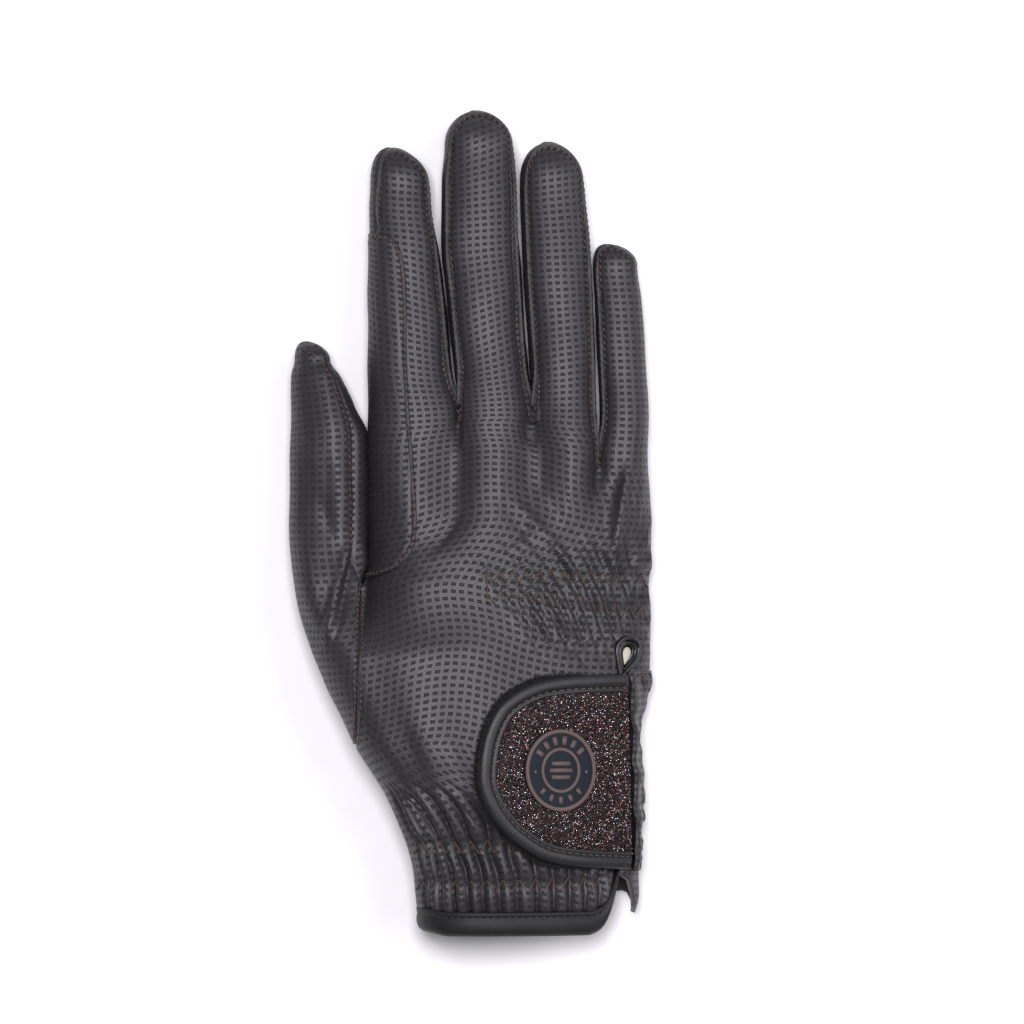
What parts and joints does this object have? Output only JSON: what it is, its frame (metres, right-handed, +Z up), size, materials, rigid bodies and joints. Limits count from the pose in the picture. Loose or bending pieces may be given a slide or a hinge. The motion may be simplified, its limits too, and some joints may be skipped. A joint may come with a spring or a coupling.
{
  "type": "horse riding glove",
  "caption": "Right-hand leather riding glove, palm down, with gathered cuff, wrist slit and a round closure tab with a badge.",
  "frame": {"origin": "middle of the glove's outline seen from above, on the surface it lies on", "axes": "+X towards the little finger, +Y towards the fingertips, +Z up out of the back of the hand"},
  "size_m": [0.1022, 0.2301, 0.0411],
  "materials": {
    "leather": "satin, small sunk pattern",
    "bound_leather": "smooth, slightly glossy",
    "glitter_cloth": "dark cloth with glitter",
    "hook_tape": "matte bristles",
    "rubber": "matte, soft"
  },
  "bodies": {
    "root": {"back_panel": "leather", "palm_panel": "leather", "thumb_panel": "leather", "gusset_thumb": "leather", "gusset_index": "leather", "gusset_middle": "leather", "gusset_ring": "leather", "cuff_binding": "leather", "index_patch": "leather", "slit_piping": "bound_leather", "closure_tab": "glitter_cloth", "tab_binding": "bound_leather", "hook_pad": "hook_tape", "tab_badge": "rubber"}
  },
  "joints": []
}
